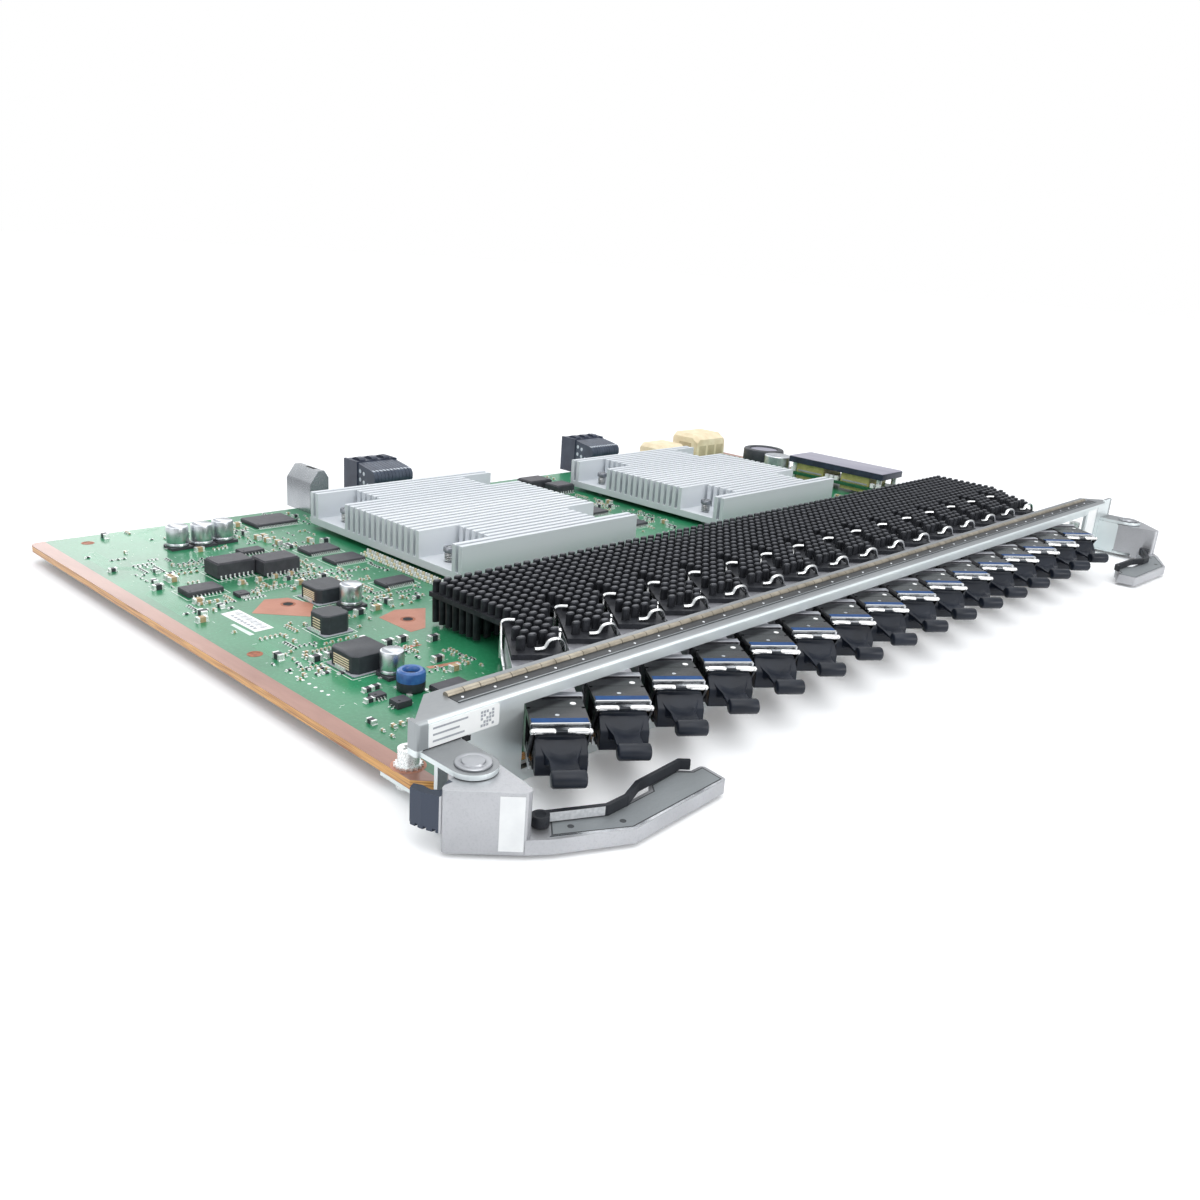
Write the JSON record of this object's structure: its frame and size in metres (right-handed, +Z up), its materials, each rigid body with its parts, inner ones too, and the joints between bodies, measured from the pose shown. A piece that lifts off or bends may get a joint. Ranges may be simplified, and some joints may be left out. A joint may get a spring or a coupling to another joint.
{
  "type": "gpon line card",
  "caption": "Flat optical line card: a slanted row of plugged transceivers behind a folded panel with two ejector levers, finned heat sinks and rear backplane connectors.",
  "frame": {"origin": "middle of the card's bounding box in plan, at the height of the panel's lower edge", "axes": "+X to the right along the front panel, +Y from the panel to the rear connectors, +Z up from the board to its components"},
  "size_m": [0.4204, 0.2758, 0.0251],
  "materials": {
    "board": "solder mask over glass fibre board, satin",
    "panel": "bright plated sheet steel",
    "gasket": "plated spring strip",
    "lever": "plated zinc casting, satin",
    "trigger": "dark spring steel",
    "rivet": "plated steel",
    "screw": "plated steel",
    "cage": "tinned sheet steel",
    "transceiver": "plated zinc housing",
    "clip": "plated spring wire",
    "black_sink": "black anodised",
    "sink": "clear anodised, extruded",
    "sink_screw": "dark plated steel",
    "chip": "moulded epoxy",
    "guide": "plated die casting",
    "connector": "moulded glass filled plastic",
    "ivory": "moulded natural plastic",
    "power": "anodised base plate over dark board and cores",
    "can": "aluminium can",
    "inductor": "pressed iron powder",
    "blue": "moulded cap",
    "bail": "plated spring steel",
    "plug": "soft moulded plastic"
  },
  "bodies": {
    "card": {"circuit_board": "board", "front_panel": "panel", "emi_gasket": "gasket", "pivot_rivets": "rivet", "panel_screws": "screw", "transceiver_cages": "cage", "transceivers": "transceiver", "heat_sink_clips": "clip", "port_heat_sinks": "black_sink", "heat_sink_left": "sink", "heat_sink_right": "sink", "heat_sink_screws": "sink_screw", "processors": "chip", "guide_block": "guide", "backplane_connectors": "connector", "power_connectors": "ivory", "power_module": "power", "capacitors": "can", "board_chips": "chip", "line_transformers": "chip", "power_inductors": "inductor", "round_inductor": "inductor", "ring_choke": "blue"},
    "lever_left": {"left_ejector_lever": "lever"},
    "lever_right": {"right_ejector_lever": "lever"},
    "trigger_left": {"left_release_trigger": "trigger"},
    "trigger_right": {"right_release_trigger": "trigger"},
    "bail_01": {"bail_latch_01": "bail"},
    "plug_01": {"dust_plug_01": "plug"},
    "bail_02": {"bail_latch_02": "bail"},
    "plug_02": {"dust_plug_02": "plug"},
    "bail_03": {"bail_latch_03": "bail"},
    "plug_03": {"dust_plug_03": "plug"},
    "bail_04": {"bail_latch_04": "bail"},
    "plug_04": {"dust_plug_04": "plug"},
    "bail_05": {"bail_latch_05": "bail"},
    "plug_05": {"dust_plug_05": "plug"},
    "bail_06": {"bail_latch_06": "bail"},
    "plug_06": {"dust_plug_06": "plug"},
    "bail_07": {"bail_latch_07": "bail"},
    "plug_07": {"dust_plug_07": "plug"},
    "bail_08": {"bail_latch_08": "bail"},
    "plug_08": {"dust_plug_08": "plug"},
    "bail_09": {"bail_latch_09": "bail"},
    "plug_09": {"dust_plug_09": "plug"},
    "bail_10": {"bail_latch_10": "bail"},
    "plug_10": {"dust_plug_10": "plug"},
    "bail_11": {"bail_latch_11": "bail"},
    "plug_11": {"dust_plug_11": "plug"},
    "bail_12": {"bail_latch_12": "bail"},
    "plug_12": {"dust_plug_12": "plug"},
    "bail_13": {"bail_latch_13": "bail"},
    "plug_13": {"dust_plug_13": "plug"},
    "bail_14": {"bail_latch_14": "bail"},
    "plug_14": {"dust_plug_14": "plug"},
    "bail_15": {"bail_latch_15": "bail"},
    "plug_15": {"dust_plug_15": "plug"},
    "bail_16": {"bail_latch_16": "bail"},
    "plug_16": {"dust_plug_16": "plug"}
  },
  "joints": [
    {"name": "lever_left_swing", "type": "hinge", "parent": "card", "child": "lever_left", "pos_m": [-0.198, -0.11175, 0.0085], "axis": [0, 0, -1], "range_deg": [0, 45]},
    {"name": "lever_right_swing", "type": "hinge", "parent": "card", "child": "lever_right", "pos_m": [0.198, -0.11175, 0.0085], "axis": [0, 0, 1], "range_deg": [0, 45]},
    {"name": "trigger_left_squeeze", "type": "hinge", "parent": "lever_left", "child": "trigger_left", "pos_m": [-0.1896, -0.12385, 0.0059], "axis": [0, 0, -1], "range_deg": [0, 3], "stiffness_Nm_per_rad": 0.2},
    {"name": "trigger_right_squeeze", "type": "hinge", "parent": "lever_right", "child": "trigger_right", "pos_m": [0.1896, -0.12385, 0.0059], "axis": [0, 0, 1], "range_deg": [0, 3], "stiffness_Nm_per_rad": 0.2},
    {"name": "bail_01_swing", "type": "hinge", "parent": "card", "child": "bail_01", "pos_m": [-0.16966, -0.1074, 0.0095], "axis": [0.8059, -0.592, 0], "range_deg": [0, 20]},
    {"name": "plug_01_pull", "type": "slide", "parent": "card", "child": "plug_01", "axis": [-0.592, -0.8059, 0], "range_m": [0, 0.02]},
    {"name": "bail_02_swing", "type": "hinge", "parent": "card", "child": "bail_02", "pos_m": [-0.14901, -0.1074, 0.0095], "axis": [0.8059, -0.592, 0], "range_deg": [0, 20]},
    {"name": "plug_02_pull", "type": "slide", "parent": "card", "child": "plug_02", "axis": [-0.592, -0.8059, 0], "range_m": [0, 0.02]},
    {"name": "bail_03_swing", "type": "hinge", "parent": "card", "child": "bail_03", "pos_m": [-0.12836, -0.1074, 0.0095], "axis": [0.8059, -0.592, 0], "range_deg": [0, 20]},
    {"name": "plug_03_pull", "type": "slide", "parent": "card", "child": "plug_03", "axis": [-0.592, -0.8059, 0], "range_m": [0, 0.02]},
    {"name": "bail_04_swing", "type": "hinge", "parent": "card", "child": "bail_04", "pos_m": [-0.10771, -0.1074, 0.0095], "axis": [0.8059, -0.592, 0], "range_deg": [0, 20]},
    {"name": "plug_04_pull", "type": "slide", "parent": "card", "child": "plug_04", "axis": [-0.592, -0.8059, 0], "range_m": [0, 0.02]},
    {"name": "bail_05_swing", "type": "hinge", "parent": "card", "child": "bail_05", "pos_m": [-0.08706, -0.1074, 0.0095], "axis": [0.8059, -0.592, 0], "range_deg": [0, 20]},
    {"name": "plug_05_pull", "type": "slide", "parent": "card", "child": "plug_05", "axis": [-0.592, -0.8059, 0], "range_m": [0, 0.02]},
    {"name": "bail_06_swing", "type": "hinge", "parent": "card", "child": "bail_06", "pos_m": [-0.06641, -0.1074, 0.0095], "axis": [0.8059, -0.592, 0], "range_deg": [0, 20]},
    {"name": "plug_06_pull", "type": "slide", "parent": "card", "child": "plug_06", "axis": [-0.592, -0.8059, 0], "range_m": [0, 0.02]},
    {"name": "bail_07_swing", "type": "hinge", "parent": "card", "child": "bail_07", "pos_m": [-0.04576, -0.1074, 0.0095], "axis": [0.8059, -0.592, 0], "range_deg": [0, 20]},
    {"name": "plug_07_pull", "type": "slide", "parent": "card", "child": "plug_07", "axis": [-0.592, -0.8059, 0], "range_m": [0, 0.02]},
    {"name": "bail_08_swing", "type": "hinge", "parent": "card", "child": "bail_08", "pos_m": [-0.02511, -0.1074, 0.0095], "axis": [0.8059, -0.592, 0], "range_deg": [0, 20]},
    {"name": "plug_08_pull", "type": "slide", "parent": "card", "child": "plug_08", "axis": [-0.592, -0.8059, 0], "range_m": [0, 0.02]},
    {"name": "bail_09_swing", "type": "hinge", "parent": "card", "child": "bail_09", "pos_m": [-0.00446, -0.1074, 0.0095], "axis": [0.8059, -0.592, 0], "range_deg": [0, 20]},
    {"name": "plug_09_pull", "type": "slide", "parent": "card", "child": "plug_09", "axis": [-0.592, -0.8059, 0], "range_m": [0, 0.02]},
    {"name": "bail_10_swing", "type": "hinge", "parent": "card", "child": "bail_10", "pos_m": [0.01619, -0.1074, 0.0095], "axis": [0.8059, -0.592, 0], "range_deg": [0, 20]},
    {"name": "plug_10_pull", "type": "slide", "parent": "card", "child": "plug_10", "axis": [-0.592, -0.8059, 0], "range_m": [0, 0.02]},
    {"name": "bail_11_swing", "type": "hinge", "parent": "card", "child": "bail_11", "pos_m": [0.03684, -0.1074, 0.0095], "axis": [0.8059, -0.592, 0], "range_deg": [0, 20]},
    {"name": "plug_11_pull", "type": "slide", "parent": "card", "child": "plug_11", "axis": [-0.592, -0.8059, 0], "range_m": [0, 0.02]},
    {"name": "bail_12_swing", "type": "hinge", "parent": "card", "child": "bail_12", "pos_m": [0.05749, -0.1074, 0.0095], "axis": [0.8059, -0.592, 0], "range_deg": [0, 20]},
    {"name": "plug_12_pull", "type": "slide", "parent": "card", "child": "plug_12", "axis": [-0.592, -0.8059, 0], "range_m": [0, 0.02]},
    {"name": "bail_13_swing", "type": "hinge", "parent": "card", "child": "bail_13", "pos_m": [0.07814, -0.1074, 0.0095], "axis": [0.8059, -0.592, 0], "range_deg": [0, 20]},
    {"name": "plug_13_pull", "type": "slide", "parent": "card", "child": "plug_13", "axis": [-0.592, -0.8059, 0], "range_m": [0, 0.02]},
    {"name": "bail_14_swing", "type": "hinge", "parent": "card", "child": "bail_14", "pos_m": [0.09879, -0.1074, 0.0095], "axis": [0.8059, -0.592, 0], "range_deg": [0, 20]},
    {"name": "plug_14_pull", "type": "slide", "parent": "card", "child": "plug_14", "axis": [-0.592, -0.8059, 0], "range_m": [0, 0.02]},
    {"name": "bail_15_swing", "type": "hinge", "parent": "card", "child": "bail_15", "pos_m": [0.11944, -0.1074, 0.0095], "axis": [0.8059, -0.592, 0], "range_deg": [0, 20]},
    {"name": "plug_15_pull", "type": "slide", "parent": "card", "child": "plug_15", "axis": [-0.592, -0.8059, 0], "range_m": [0, 0.02]},
    {"name": "bail_16_swing", "type": "hinge", "parent": "card", "child": "bail_16", "pos_m": [0.14009, -0.1074, 0.0095], "axis": [0.8059, -0.592, 0], "range_deg": [0, 20]},
    {"name": "plug_16_pull", "type": "slide", "parent": "card", "child": "plug_16", "axis": [-0.592, -0.8059, 0], "range_m": [0, 0.02]}
  ]
}
